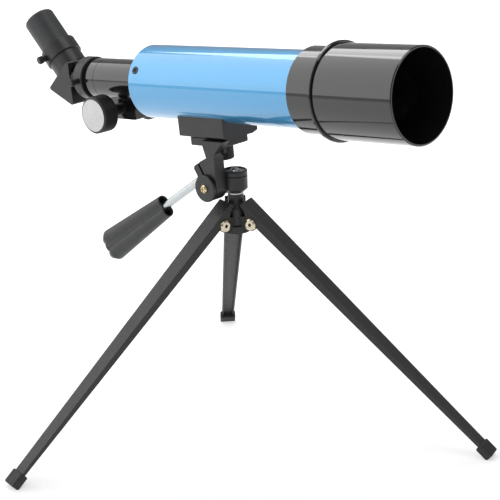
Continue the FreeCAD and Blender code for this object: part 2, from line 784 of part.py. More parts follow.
def build_end_cap():
    length = end_cap_length - seam_gap
    cap = turned((0, 0), (housing_radius - end_cap_chamfer, 0), (housing_radius, end_cap_chamfer),
                 (housing_radius, length), (0, length))
    bore = cylinder(bore_radius, length + past * 2)
    put(bore, 0, 0, -past)
    channel = box(channel_drop + past, channel_half * 2, length + past * 2)
    put(channel, 0, -channel_half, -past)
    finish(cut(cap, bore, channel), "focuser_end_cap", on_tube(cap_rear))


def build_tube_screws():
    screws = []
    for index in range(3):
        screw = turned((0, 0), (tube_screw_radius, 0),
                       (tube_screw_radius, tube_screw_length - tube_screw_cone),
                       (tube_screw_head, tube_screw_length), (0, tube_screw_length))
        screw = cut(screw, cross_recess(tube_screw_length))
        reach = tube_radius - tube_screw_length + tube_screw_proud
        screws.append(put_radial(screw, around_tube(index), reach, tube_screw_inset))
    joined = doc.addObject("Part::Compound", "tube_screws")
    joined.Links = screws
    finish(joined, "tube_screws", on_tube(tube_rear))


def build_draw_tube():
    screw_at = collar_length * 0.5
    tube = ring(draw_radius, draw_radius - draw_wall, draw_inside + draw_gap_out + collar_length)
    tube_hole = cylinder(thumb_shank + running_gap, collar_radius)
    put(tube_hole, 0, 0, screw_at, ALONG_MINUS_Y)
    finish(cut(tube, tube_hole), "draw_tube", on_tube(collar_rear))

    collar_hole = cylinder(thumb_shank + running_gap, collar_radius + past)
    put(collar_hole, 0, 0, screw_at, ALONG_MINUS_Y)
    collar = cut(ring(collar_radius, draw_radius, collar_length, edge_chamfer), collar_hole)
    finish(collar, "draw_tube_collar", on_tube(collar_rear))

    tip = barrel_radius + thumb_tip_gap
    finish(thumbscrew(collar_radius - tip, thumb_stand), "draw_tube_thumbscrew",
           on_tube(collar_rear + screw_at, -tip, 0, ALONG_MINUS_Y))


def thumbscrew(depth, stand):
    """A thumbscrew along Z: its tip at the origin, a shank, a flange and a grooved head that stands off."""
    shank = rod(thumb_shank, depth + stand, fine_chamfer)
    flange = cylinder(thumb_flange, thumb_flange_length)
    put(flange, 0, 0, depth + free_gap)
    head = knurled(thumb_radius, thumb_length, thumb_groove, 16)
    put(head, 0, 0, depth + stand)
    return fuse(shank, flange, head)


def involute_gear(module_length, teeth, width, thinning):
    """Spur gear about Z with a tooth pointing along +X and one face at z = 0."""
    pressure = math.radians(20)
    pitch = module_length * teeth / 2
    base = pitch * math.cos(pressure)
    tip = pitch + module_length
    root = pitch - 1.25 * module_length
    half_tooth = math.pi / (2 * teeth) - thinning / (2 * pitch)
    pressure_turn = math.tan(pressure) - pressure

    def flank(radius):
        roll = math.acos(min(1.0, base / radius))
        return half_tooth + pressure_turn - (math.tan(roll) - roll)

    start = max(root, base)
    steps = 6
    flank_points = []
    for step in range(steps + 1):
        radius = start + (tip - start) * step / steps
        flank_points.append((radius, flank(radius)))
    edges = []
    last = None
    first = None

    def point(radius, angle):
        return Vector(radius * math.cos(angle), radius * math.sin(angle), 0)

    for tooth in range(teeth):
        middle = 2 * math.pi * tooth / teeth
        rising = [point(root, middle - flank(start))]
        rising += [point(radius, middle - turn) for radius, turn in flank_points]
        falling = [point(radius, middle + turn) for radius, turn in reversed(flank_points)]
        falling.append(point(root, middle + flank(start)))
        if last is not None:
            edges.append(Part.LineSegment(last, rising[0]).toShape())
        else:
            first = rising[0]
        for line in (rising, falling):
            for begin, end in zip(line, line[1:]):
                if begin.distanceToPoint(end) > 1e-4:
                    edges.append(Part.LineSegment(begin, end).toShape())
        edges.append(Part.LineSegment(rising[-1], falling[0]).toShape())
        last = falling[-1]
    edges.append(Part.LineSegment(last, first).toShape())
    face = Part.Face(Part.Wire(Part.__sortEdges__(edges)))
    return face.extrude(Vector(0, 0, width))


def rack_shape():
    """The rack along X, teeth down, with a space between teeth at x = 0; the draw tube's axis is y = z = 0."""
    module_length = value(gear_module)
    pitch = math.pi * module_length
    teeth = int(value(rack_teeth))
    width = value(rack_width)
    line = value(rack_line)
    addendum = module_length * 0.92
    dedendum = module_length * 1.2
    slope = math.tan(math.radians(20))
    thinning = value(backlash) / 2
    half_tip = pitch / 4 - slope * addendum - thinning
    half_root = pitch / 4 + slope * dedendum - thinning
    rear = (value(rack_teeth_ahead) - teeth) * pitch
    front = rear + teeth * pitch
    # the rack's curved back lies on the draw tube, so its top stays inside the tube until it is cut
    back = -value(draw_radius) + value(draw_wall)
    corners = [Vector(rear, -width / 2, back)]
    for number in range(teeth):
        centre = rear + (number + 0.5) * pitch
        corners.append(Vector(centre - half_root, -width / 2, -line + dedendum))
        corners.append(Vector(centre - half_tip, -width / 2, -line - addendum))
        corners.append(Vector(centre + half_tip, -width / 2, -line - addendum))
        corners.append(Vector(centre + half_root, -width / 2, -line + dedendum))
    corners.append(Vector(front, -width / 2, back))
    bar = Part.Face(Part.makePolygon(corners + corners[:1])).extrude(Vector(0, width, 0))
    tube = Part.makeCylinder(value(draw_radius), front - rear + 2, Vector(rear - 1, 0, 0), Vector(1, 0, 0))
    return bar.cut(tube)


def build_rack_and_pinion():
    finish(shaped(rack_shape()), "focus_rack", on_tube(pinion_at, 0, 0, UPRIGHT))

    width = value(pinion_width)
    gear = involute_gear(value(gear_module), int(value(pinion_teeth)), width, value(backlash))
    gear = gear.cut(Part.makeCylinder(value(shaft_radius), width + 2, Vector(0, 0, -1)))
    # a tooth points up at the rack
    tooth_up = Rotation(Vector(1, 0, 0), -90) * Rotation(Vector(0, 0, 1), -90)
    finish(shaped(gear), "pinion_gear",
           on_tube(pinion_at, -pinion_width * 0.5, -pinion_drop, tooth_up))

    knob_at = boss_half + knob_gap
    shaft_half = knob_at + knob_bore
    shaft = rod(shaft_radius, shaft_half * 2, fine_chamfer)
    finish(shaft, "pinion_shaft", on_tube(pinion_at, -shaft_half, -pinion_drop, ALONG_Y))

    cap_seat = knob_width - knob_cap_seat
    for side, sign, turn in (("left", -1, ALONG_MINUS_Y), ("right", 1, ALONG_Y)):
        blank = knurled(knob_radius, knob_width, knob_groove, 96)
        shaft_hole = cylinder(shaft_radius, knob_bore)
        face = cylinder(knob_cap_radius, knob_cap_thickness)
        put(face, 0, 0, cap_seat)
        hollow = cut(cylinder(knob_radius - knob_rim, knob_hollow), cylinder(knob_hub, knob_hollow))
        finish(cut(blank, shaft_hole, face, hollow), f"focus_knob_{side}",
               on_tube(pinion_at, sign * knob_at, -pinion_drop, turn))
        cap = turned(
            (0, 0), (knob_cap_radius, 0), (knob_cap_radius, knob_cap_thickness - edge_chamfer),
            (knob_cap_radius - edge_chamfer, knob_cap_thickness), (0, knob_cap_thickness))
        finish(cap, f"knob_cap_{side}",
               on_tube(pinion_at, sign * (knob_at + cap_seat), -pinion_drop, turn))


# ---------------------------------------------------------------- diagonal and eyepiece
diagonal_front = collar_rear - diagonal_setback
eye_x = diagonal_front - eyepiece_back
lean = math.radians(value(eyepiece_lean))
eye_direction = Vector(-math.cos(lean), 0, math.sin(lean))
eye_turn = Rotation(Vector(0, 0, 1), eye_direction)


def on_eye(distance, rotation=UPRIGHT):
    """A place on the eyepiece's axis, with Z pointing out to the eye."""
    start = Placement(Vector(value(eye_x), 0, 0), eye_turn)
    return tube_frame * start * Placement(Vector(0, 0, value(distance)), rotation)


def diagonal_block():
    """The diagonal's closed outline; its upper face is square to the eyepiece and holds the socket."""
    top = value(diagonal_top)
    across = Vector(math.sin(lean), 0, math.cos(lean))
    face_middle = Vector(-value(eyepiece_back), 0, 0) + eye_direction * value(holder_start)
    upper = [face_middle - across * (face_middle.x / across.x)]
    if upper[0].z > top:
        upper = [Vector(0, 0, top), face_middle + across * ((top - face_middle.z) / across.z)]
    rear = face_middle - across * ((value(diagonal_depth) + face_middle.x) / across.x)
    corners = [(0, -diagonal_bottom)]
    corners += [(corner.x, corner.z) for corner in upper]
    corners += [(rear.x, rear.z), (diagonal_heel_inset - diagonal_depth, -diagonal_heel)]
    block = prism_between(corners, -diagonal_half, diagonal_half)
    return block.makeFillet(value(diagonal_fillet), straight_edges(block, Vector(0, 1, 0)))


def drawn_in(block, margin):
    """A copy of a block drawn in about its middle, with a margin left all round."""
    bounds = block.BoundBox
    twice = 2 * value(margin)
    scale = FreeCAD.Matrix()
    scale.move(-bounds.Center)
    scale.scale(Vector(1 - twice / bounds.XLength, 1 - twice / bounds.YLength, 1 - twice / bounds.ZLength))
    scale.move(bounds.Center)
    return block.transformGeometry(scale)


def slab(block, low, high):
    """A box a little larger than a block, between two distances in from its +Y side."""
    bounds = block.BoundBox
    return Part.makeBox(bounds.XLength + 2, value(high) - value(low), bounds.ZLength + 2,
                        Vector(bounds.XMin - 1, bounds.YMax - value(high), bounds.ZMin - 1))


def build_diagonal():
    block = diagonal_block()
    light_radius = value(barrel_radius - barrel_wall)
    wall = value(diagonal_wall)
    light_in = Part.makeCylinder(light_radius, wall * 4, Vector(wall * 2, 0, 0), Vector(-1, 0, 0))
    light_out = Part.makeCylinder(light_radius, value(holder_start) + wall * 2,
                                  Vector(-value(eyepiece_back), 0, 0), eye_direction)
    shell = block.cut(drawn_in(block, diagonal_wall)).cut(light_in).cut(light_out)
    place = tube_frame * Placement(Vector(value(diagonal_front), 0, 0), UPRIGHT)
    far_side = slab(block, -past, diagonal_cover_thickness)
    finish(shaped(shell.cut(far_side)), "diagonal_housing", place)
    finish(shaped(shell.common(far_side)), "diagonal_cover", place)
    finish(shaped(drawn_in(block, prism_margin)), "diagonal_prism", place)

    shoulder = diagonal_setback - diagonal_groove
    total = diagonal_setback + barrel_depth
    inner = barrel_radius - barrel_wall
    barrel = turned(
        (inner, 0), (holder_radius, 0), (holder_radius, shoulder), (barrel_radius, shoulder),
        (barrel_radius, total - edge_chamfer), (barrel_radius - edge_chamfer, total), (inner, total))
    finish(barrel, "diagonal_barrel", on_tube(diagonal_front))


def build_eyepiece_holder():
    socket = barrel_radius + slide_gap
    length = holder_end - holder_start
    collar_low = holder_collar_start - holder_start
    blank = turned(
        (socket, 0), (holder_radius, 0), (holder_radius, collar_low - edge_chamfer),
        (holder_collar, collar_low), (holder_collar, length - edge_chamfer),
        (holder_collar - edge_chamfer, length), (socket, length))
    screw_height = (collar_low + length) * 0.5
    towards = Rotation(Vector(0, 0, 1), -value(holder_screw_turn)) * ALONG_MINUS_Y
    screw_hole = cylinder(thumb_shank + running_gap, holder_collar + past)
    put(screw_hole, 0, 0, screw_height, towards)
    finish(cut(blank, screw_hole), "eyepiece_holder", on_eye(holder_start))

    tip = barrel_radius + thumb_tip_gap
    outward = towards.multVec(Vector(0, 0, 1))
    screw_place = Placement(outward * value(tip) + Vector(0, 0, value(screw_height)), towards)
    finish(thumbscrew(holder_collar - tip, holder_screw_stand), "eyepiece_thumbscrew",
           on_eye(holder_start) * screw_place)


def build_eyepiece():
    inner = barrel_radius - barrel_wall
    length = eyepiece_end - holder_end - free_gap
    lens_seat = length - eye_relief_depth - eye_bore
    body = turned(
        (barrel_radius, 0), (eyepiece_radius, 0), (eyepiece_radius, length - eye_rim),
        (eyepiece_radius - edge_chamfer, length - edge_chamfer), (eyepiece_radius - eye_rim, length),
        (eye_lens_radius + eye_cup_step, length), (eye_lens_radius, length - eye_relief_depth),
        (eye_lens_radius, lens_seat), (inner, lens_seat - eye_rim), (inner, eyepiece_joint),
        (barrel_radius, eyepiece_joint))
    finish(body, "eyepiece_body", on_eye(holder_end + free_gap))

    barrel_length = holder_end + free_gap - eyepiece_insert + eyepiece_joint
    barrel = turned(
        (inner, 0), (barrel_radius - edge_chamfer, 0), (barrel_radius, edge_chamfer),
        (barrel_radius, barrel_length), (inner, barrel_length))
    finish(barrel, "eyepiece_barrel", on_eye(eyepiece_insert))

    eye_lens = shaped(lens_shape(eye_lens_radius, eye_lens_edge, 0.0, eye_lens_bulge))
    finish(eye_lens, "eye_lens", on_eye(eyepiece_end - eye_relief_depth - eye_lens_edge - edge_chamfer))
    field_lens = shaped(lens_shape(inner, field_lens_edge, -field_lens_bulge, 0.0))
    finish(field_lens, "field_lens", on_eye(eyepiece_insert + eyepiece_joint))


# ---------------------------------------------------------------- saddle and platform
def build_saddle():
    cheek_top = saddle_drop + saddle_cheek
    middle = saddle_length * 0.5
    half = plate("YZ_Plane", saddle_length, [
        (0, 0), (platform_half, 0), (saddle_half, saddle_wing), (saddle_half, cheek_top), (0, cheek_top)])
    other = doc.addObject("Part::Mirroring", "mirrored")
    other.Source = half
    other.Normal = Vector(0, 1, 0)
    tube = cylinder(tube_radius, saddle_length + past * 2)
    put(tube, -past, 0, saddle_base, ALONG_X)
    insert_at = middle + platform_behind - camera_behind
    insert_hole = cylinder(insert_radius, insert_length + camera_screw_spare)
    put(insert_hole, insert_at, 0, 0)
    screw_holes = []
    for sign in (-1, 1):
        hole = cylinder(saddle_screw_radius, saddle_screw_depth + past * 2)
        put(hole, middle + sign * saddle_screw_spread, 0, saddle_drop - saddle_screw_depth - past)
        screw_holes.append(hole)
    block = cut(fuse(half, other), tube, insert_hole, *screw_holes)
    doc.recompute()
    lower_edges = [edge for edge in straight_edges(block.Shape, Vector(1, 0, 0))
                   if edge.BoundBox.ZMax < value(saddle_wing) + 1e-3]
    block = shaped(block.Shape.makeFillet(value(saddle_fillet), lower_edges))
    place = on_tube(-saddle_centre - middle, 0, -saddle_base, UPRIGHT)
    finish(block, "saddle_block", place)

    insert = ring(insert_radius, camera_thread + running_gap, insert_length)
    finish(insert, "saddle_insert", place * Placement(Vector(value(insert_at), 0, 0), UPRIGHT))

    screws = []
    for sign in (-1, 1):
        at = middle + sign * saddle_screw_spread
        head_low = saddle_drop + tube_wall + free_gap
        shank = cylinder(saddle_screw_radius, head_low + saddle_screw_depth - saddle_drop + past)
        put(shank, at, 0, saddle_drop - saddle_screw_depth)
        head = cylinder(saddle_screw_head, saddle_screw_rise)
        put(head, at, 0, head_low)
        screws.append(fuse(shank, head))
    joined = doc.addObject("Part::Compound", "saddle_screws")
    joined.Links = screws
    finish(joined, "saddle_screws", place)



def along_handle(back, rise):
    """A point in the tilt arm's side view, measured back along the handle and square to it."""
    slope = math.radians(value(handle_slope))
    back = value(back)
    rise = value(rise)
    return (-back * math.cos(slope) - rise * math.sin(slope),
            -back * math.sin(slope) + rise * math.cos(slope))


def arm_solid():
    """The side arm with its round clamp and the two ears that the handle's screw draws together."""
    top = arm_drop + platform_thickness - edge_chamfer
    lip = top - arm_top_lip
    neck = arm_drop - arm_neck_drop
    ear_top = handle_offset + clamp_ear_rise
    corners = [
        (-arm_top_behind, top), (arm_top_front, top), (arm_top_front - arm_top_lip, lip),
        (arm_top_front - arm_top_lip - arm_gusset, lip - arm_gusset), (arm_neck_front, neck),
        (clamp_radius, 0), (-clamp_radius, 0),
        along_handle(clamp_ear_back, handle_offset + clamp_ear_low),
        along_handle(clamp_ear_back, ear_top - clamp_ear_chamfer),
        along_handle(clamp_ear_back - clamp_ear_chamfer, ear_top),
        along_handle(-clamp_ear_front, ear_top), (arm_neck_rear, neck)]
    side = prism_between(corners, -arm_outer, -clamp_inner)
    clamp = Part.makeCylinder(value(clamp_radius), value(clamp_thickness),
                              Vector(0, -value(arm_outer), 0), Vector(0, 1, 0))
    # above the clamp the arm is thinner
    trim = Part.makeBox(value(platform_length) * 2, value(clamp_thickness), value(arm_drop),
                        Vector(-value(platform_length), value(arm_thickness - arm_outer),
                               value(arm_drop - arm_trim_drop)))
    return side.fuse(clamp).cut(trim)


def platform_solid():
    """The flat platform under the saddle block, and the web that joins it to the arm."""
    length = value(platform_length)
    half = value(platform_half)
    thickness = value(platform_thickness)
    low = value(arm_drop)
    corner = Vector(-value(platform_behind) - length / 2, -half, low)
    platform = Part.makeBox(length, 2 * half, thickness, corner)
    platform = platform.makeFillet(value(platform_fillet), straight_edges(platform, Vector(0, 0, 1)))
    rims = [edge for edge in platform.Edges if edge.BoundBox.ZLength < 1e-6]
    platform = platform.makeChamfer(value(edge_chamfer), rims)
    arm_inner = value(arm_thickness - arm_outer)
    web_low = arm_inner - 1.0
    corner = Vector(-value(camera_behind), web_low, low - value(arm_web_drop))
    web = Part.makeBox(value(arm_web_length), value(arm_web_lap) - half - web_low,
                       value(arm_web_drop) + thickness / 2, corner)
    return platform.fuse(web)


def build_tilt_arm():
    """Platform, side arm and split clamp: one casting, drawn about the tilt axis."""
    outer = value(arm_outer)
    bore = Part.makeCylinder(value(tilt_stub_radius + running_gap), outer, Vector(0, -outer - 1, 0),
                             Vector(0, 1, 0))
    slot = Part.makeBox(value(slot_width), outer, value(handle_offset + clamp_ear_rise),
                        Vector(-value(slot_width) / 2, -outer - 1, value(slot_low)))
    start_x, start_z = along_handle(-slot_ahead, 0)
    slot.Placement = Placement(Vector(start_x, 0, start_z),
                               Rotation(Vector(0, 1, 0), -value(handle_slope))).multiply(slot.Placement)

    axis_y = -value(clamp_inner + clamp_thickness * 0.5)
    back_x, back_z = along_handle(1, 0)
    back = Vector(back_x, 0, back_z)
    axis_x, axis_z = along_handle(0, handle_offset)
    axis_point = Vector(axis_x, axis_y, axis_z)
    thread = Part.makeCylinder(value(rod_thread + running_gap), value(rod_tip - rod_start + past),
                               axis_point - back * value(rod_tip + free_gap), back)
    plain = Part.makeCylinder(value(rod_radius + slide_gap), value(clamp_radius) * 2,
                              axis_point - back * value(rod_start), back)
    camera_hole = Part.makeCylinder(value(camera_thread + slide_gap), value(platform_thickness) + 2,
                                    Vector(-value(camera_behind), 0, value(arm_drop) - 1))
    solid = arm_solid().fuse(platform_solid())
    solid = solid.cut(bore).cut(slot).cut(thread).cut(plain).cut(camera_hole)
    finish(shaped(solid.removeSplitter()), "tilt_arm", on_tilt(0))


def build_camera_screw():
    wheel_low = arm_drop - camera_wheel_gap - camera_wheel_height
    wheel = knurled(camera_wheel_radius, camera_wheel_height, camera_wheel_groove, 40, camera_thread)
    finish(wheel, "camera_wheel", on_tilt(-camera_behind, 0, wheel_low))
    in_platform = camera_wheel_gap + platform_thickness
    in_block = insert_length - camera_screw_spare
    shank = rod(camera_thread, camera_wheel_height + in_platform + in_block, fine_chamfer)
    collar = put(cylinder(camera_collar, camera_wheel_gap - free_gap), 0, 0, camera_wheel_height)
    finish(fuse(shank, collar), "camera_screw", on_tilt(-camera_behind, 0, wheel_low))


def grip_lobe(sign, taper):
    """One of the grip's two long lobes, which spread apart towards the back."""
    lobe = cone(grip_front_lobe, grip_rear_lobe, grip_length - grip_end)
    end = cone(grip_rear_lobe, grip_rear_lobe - grip_end_step, grip_end)
    put(end, 0, 0, grip_length - grip_end)
    return put(fuse(lobe, end), grip_front_spread * sign, 0, 0, Rotation(Vector(0, 1, 0), sign * taper))


def build_handle():
    # local Z runs back along the handle and local X rises square to it
    turn = Rotation(Vector(0, 1, 0), 270 - value(handle_slope))
    middle_y = -(clamp_inner + clamp_thickness * 0.5)
    frame = tilt_frame * Placement(Vector(0, value(middle_y), 0), turn) * Placement(
        Vector(value(handle_offset), 0, 0), UPRIGHT)
    thread_length = rod_tip - rod_start + free_gap
    total = rod_tip + grip_start + rod_in_grip
    bar = turned(
        (0, 0), (rod_thread - fine_chamfer, 0), (rod_thread, fine_chamfer), (rod_thread, thread_length),
        (rod_radius, thread_length), (rod_radius, total), (0, total))
    finish(bar, "handle_rod", frame * Placement(Vector(0, 0, -value(rod_tip)), UPRIGHT))

    taper = math.degrees(math.atan(value(grip_rear_spread - grip_front_spread) / value(grip_length)))
    web = cone(grip_front_lobe - grip_waist, grip_rear_lobe - grip_waist, grip_length - grip_end * 0.5)
    body = fuse(grip_lobe(-1, taper), grip_lobe(1, taper), web)
    hollows = []
    for sign in (-1, 1):
        hollow = cylinder(grip_front_lobe - grip_wall, grip_hollow)
        hollows.append(put(hollow, (grip_front_spread + edge_chamfer) * sign, 0, -past,
                           Rotation(Vector(0, 1, 0), sign * taper)))
    grip = cut(body, cylinder(rod_radius, rod_in_grip), *hollows)
    finish(grip, "handle_grip", frame * Placement(Vector(0, 0, value(grip_start)), UPRIGHT))


# ---------------------------------------------------------------- pan and tilt head
def build_pan_head():
    height = post_cone + post_height
    groove = height - post_groove_drop
    post = turned(
        (0, 0), (neck_radius, 0), (post_radius, post_cone), (post_radius, groove - post_groove),
        (post_radius - post_groove, groove), (post_radius, groove + post_groove),
        (post_radius, height - edge_chamfer), (post_radius - edge_chamfer, height), (0, height))
    put(post, 0, 0, post_low)
    barrel = cylinder(tilt_barrel_radius, post_radius + clamp_inner - free_gap)
    put(barrel, -tilt_behind, post_radius, tilt_height, ALONG_MINUS_Y)
    stub = cylinder(tilt_stub_radius, post_radius + arm_outer)
    put(stub, -tilt_behind, post_radius, tilt_height, ALONG_MINUS_Y)
    recess = cylinder(pan_cap_radius + slide_gap, pan_cap_depth + past)
    put(recess, 0, 0, post_top - pan_cap_depth)
    bolt_hole = cylinder(pan_bolt_radius + running_gap, height + past * 2)
    put(bolt_hole, 0, 0, post_low - past)
    screw_hole = cylinder(tilt_screw_radius, tilt_screw_depth + free_gap)
    put(screw_hole, -tilt_behind, tilt_screw_depth + free_gap - arm_outer, tilt_height, ALONG_MINUS_Y)
    # the barrel's underside is cut back where it turns round the fixed neck
    relief = cylinder(neck_radius + free_gap, tilt_barrel_radius * 2)
    put(relief, 0, 0, post_low - tilt_barrel_radius * 2)
    head = cut(fuse(post, barrel, stub), recess, bolt_hole, screw_hole, relief)
    finish(head, "pan_head", Placement())


def build_pan_fastening():
    cap = ring(pan_cap_radius, pan_bolt_radius + running_gap, pan_cap_thickness, fine_chamfer)
    finish(cap, "pan_cap", on_post(0, 0, post_top - pan_cap_depth))

    bolt_low = neck_top - pan_bolt_reach
    shank = post_top - pan_cap_depth + pan_cap_thickness + slide_gap - bolt_low
    top = shank + pan_bolt_rise
    bolt = turned(
        (0, 0), (pan_bolt_radius, 0), (pan_bolt_radius, shank), (pan_bolt_head, shank),
        (pan_bolt_head - fine_chamfer, shank + pan_bolt_rise * 0.5), (pan_bolt_head * 0.6, top), (0, top))
    finish(cut(bolt, cross_recess(top)), "pan_screw", on_post(0, 0, bolt_low))

    washer = ring(neck_radius, pan_bolt_radius + slide_gap, washer_thickness)
    finish(washer, "pan_washer", on_post(0, 0, neck_top))


def build_tilt_fastening():
    disc = turned(
        (tilt_screw_radius, 0), (tilt_cap_radius - edge_chamfer, 0), (tilt_cap_radius, edge_chamfer),
        (tilt_cap_radius, tilt_cap_thickness - edge_chamfer),
        (tilt_cap_radius - edge_chamfer, tilt_cap_thickness), (tilt_screw_radius, tilt_cap_thickness))
    spacer = put(ring(tilt_stub_radius - free_gap, tilt_screw_radius, free_gap), 0, 0, -free_gap)
    finish(fuse(spacer, disc), "tilt_cap",
           on_post(-tilt_behind, -arm_outer - free_gap, tilt_height, ALONG_MINUS_Y))

    shank = tilt_screw_depth + free_gap + tilt_cap_thickness
    top = shank + tilt_screw_rise
    screw = turned(
        (0, 0), (tilt_screw_radius, 0), (tilt_screw_radius, shank), (tilt_screw_head, shank),
        (tilt_screw_head, shank + tilt_screw_rise * 0.4), (tilt_screw_head * 0.65, top), (0, top))
    finish(cut(screw, cross_recess(top)), "tilt_screw",
           on_post(-tilt_behind, tilt_screw_depth - arm_outer, tilt_height, ALONG_MINUS_Y))


# ---------------------------------------------------------------- tripod
def leg_place(index):
    """A leg's frame: hinge at its origin, X down the leg, Z out of its web."""
    azimuth = value(leg_turn) + 120 * index
    around = Rotation(Vector(0, 0, 1), azimuth)
    return Placement(ORIGIN, around) * Placement(
        Vector(value(hinge_radius), 0, value(hinge_height)),
        Rotation(Vector(0, 1, 0), value(leg_slope)))


def tapered_plan(half_top, half_foot, start, end, low, high):
    """A flat-sided block seen from above as a trapezoid, from start to end along X."""
    points = [Vector(start, -half_top, low), Vector(end, -half_foot, low),
              Vector(end, half_foot, low), Vector(start, half_top, low), Vector(start, -half_top, low)]
    return Part.Face(Part.makePolygon(points)).extrude(Vector(0, 0, high - low))


def leg_widths(start, end):
    """Half widths of the leg at two stations along it."""
    rate = (value(leg_half_foot) - value(leg_half_top)) / value(leg_length)
    return value(leg_half_top) + rate * start, value(leg_half_top) + rate * end


def leg_shape():
    """A folded sheet channel with a round ear at its hinge and a straight heel behind it."""
    web = value(leg_web)
    end = value(leg_length)
    heel = -value(leg_heel)
    ear = value(leg_ear)
    sheet_thickness = value(leg_sheet)
    low_at_ear = web - value(leg_depth_top)
    lip = web - value(leg_heel_lip)
    ear_front = math.sqrt(ear * ear - low_at_ear * low_at_ear)
    corners = [(-ear, 0), (-ear - value(leg_heel_run), lip - sheet_thickness), (heel, lip), (heel, web),
               (end, web), (end, web - value(leg_depth_foot)), (ear_front, low_at_ear)]
    reach = value(leg_half_top) * 2
    eye = Part.makeCylinder(ear, reach * 2, Vector(0, -reach, 0), Vector(0, 1, 0))
    above = Part.makeBox(ear * 4, reach * 2, ear * 2, Vector(-ear * 2, -reach, low_at_ear))
    side = prism_between(corners, -reach, reach).fuse(eye.cut(above))
    top_half, foot_half = leg_widths(heel - 1, end + 1)
    outer = tapered_plan(top_half, foot_half, heel - 1, end + 1, -reach, reach)
    inner = tapered_plan(top_half - sheet_thickness, foot_half - sheet_thickness,
                         heel - 1, end + 1, -reach, web - sheet_thickness)
    hole = Part.makeCylinder(value(rivet_radius), reach * 2, Vector(0, -reach, 0), Vector(0, 1, 0))
    return side.common(outer).cut(inner).cut(hole).removeSplitter()


def foot_shape(leg):
    """The rubber boot round a leg's end, before its underside is cut level with the ground."""
    end = value(leg_length)
    rubber = value(foot_rubber)
    start = end - value(foot_cover)
    reach = end + value(foot_reach)
    low = value(leg_web - leg_depth_foot - foot_rubber - foot_fillet)
    half = value(leg_half_foot) + rubber
    boot = Part.makeBox(reach - start, 2 * half, value(leg_web) + rubber - low, Vector(start, -half, low))
    return boot.makeFillet(value(foot_fillet), boot.Edges).cut(leg)


def build_hub():
    core_height = hinge_height + hub_rise - hub_bottom
    core = turned(
        (0, 0), (hub_plate, 0), (hub_plate, hub_plate_thickness), (hub_core, hub_plate_thickness),
        (hub_core, core_height), (neck_radius, core_height + hub_shoulder),
        (neck_radius, neck_top - hub_bottom), (0, neck_top - hub_bottom))
    put(core, 0, 0, hub_bottom)
    doc.recompute()
    hub = core.Shape
    lug_half = value(leg_half_top - leg_sheet - free_gap)
    hinge_x = value(hinge_radius)
    hinge_z = value(hinge_height)
    ear = value(leg_ear - hub_lug_step)
    for index in range(3):
        lug = Part.makeBox(hinge_x, 2 * lug_half, 2 * ear, Vector(0, -lug_half, hinge_z - ear))
        eye = Part.makeCylinder(ear, 2 * lug_half, Vector(hinge_x, -lug_half, hinge_z), Vector(0, 1, 0))
        bore = Part.makeCylinder(value(rivet_radius + running_gap), 4 * lug_half,
                                 Vector(hinge_x, -2 * lug_half, hinge_z), Vector(0, 1, 0))
        lug = lug.fuse(eye)
        for shape in (lug, bore):
            shape.rotate(ORIGIN, Vector(0, 0, 1), value(leg_turn) + 120 * index)
        hub = hub.fuse(lug).cut(bore)
    bolt = Part.makeCylinder(value(pan_bolt_radius), value(pan_bolt_reach) + 1,
                             Vector(0, 0, value(neck_top - pan_bolt_reach)))
    finish(shaped(hub.cut(bolt).removeSplitter()), "tripod_hub", Placement())


def build_rivet(place, label):
    """A tubular rivet through a leg's two ears, with a rolled head at each end."""
    head = rivet_head_height
    between = (leg_half_top + running_gap) * 2
    total = between + head * 2
    face = rivet_head - rivet_face
    curl = rivet_head - rivet_curl
    rivet = turned(
        (rivet_bore, 0), (face, 0), (curl, head * 0.35), (rivet_head, head), (rivet_radius, head),
        (rivet_radius, head + between), (rivet_head, head + between), (curl, total - head * 0.35),
        (face, total), (rivet_bore, total))
    finish(rivet, label, place * Placement(Vector(0, -value(total) / 2, 0), ALONG_Y))


def build_tripod():
    leg = leg_shape()
    boot = foot_shape(leg)
    lowest = []
    for index in range(3):
        stood = boot.copy()
        stood.Placement = leg_place(index)
        lowest.append(stood.BoundBox.ZMin)
    floor_level = min(lowest) + value(foot_flat)
    for index in range(3):
        place = leg_place(index)
        reach = value(hinge_radius + leg_length) * 2
        ground = Part.makeBox(reach, reach, reach, Vector(-reach / 2, -reach / 2, floor_level - reach))
        ground.Placement = place.inverse()
        finish(shaped(leg), f"tripod_leg_{index + 1}", place)
        finish(shaped(boot.cut(ground)), f"leg_foot_{index + 1}", place)
        build_rivet(place, f"leg_rivet_{index + 1}")


# ---------------------------------------------------------------- build
build_optical_tube()
build_lens_cell()
build_dew_shield()
build_baffle()
build_focuser_housing()
build_pinion_cover()
build_end_cap()
build_tube_screws()
build_draw_tube()
build_rack_and_pinion()
build_diagonal()
build_eyepiece_holder()
build_eyepiece()
build_saddle()
build_tilt_arm()
build_camera_screw()
build_handle()
build_pan_head()
build_pan_fastening()
build_tilt_fastening()
build_hub()
build_tripod()
doc.recompute()

# stand the object on the ground with its bounding box centred over the origin
whole = Part.makeCompound([item.Shape for item in parts]).optimalBoundingBox(True, False)
shift = Vector(-whole.Center.x, -whole.Center.y, -whole.ZMin)
for item in parts:
    item.Placement = Placement(shift, UPRIGHT) * item.Placement
doc.recompute()

for item in doc.Objects:
    if "Invalid" in item.State or "Error" in item.State:
        raise RuntimeError(f"{item.Name} ({item.Label}) failed: {item.State}")
os.makedirs("parts", exist_ok=True)
for item in parts:
    if item.Shape.isNull() or not item.Shape.isValid():
        raise RuntimeError(f"{item.Label} has no valid shape")
for item in parts:
    item.Shape.exportStep(f"parts/{item.Label}.step")
print(len(parts), "parts, origin moved by", shift)
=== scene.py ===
"""Looks for a small refracting telescope on a folding table tripod.

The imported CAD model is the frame: +Z is up and +X is the way the telescope looks, in metres.
"""

import json
import math

import bpy
from mathutils import Matrix, Vector


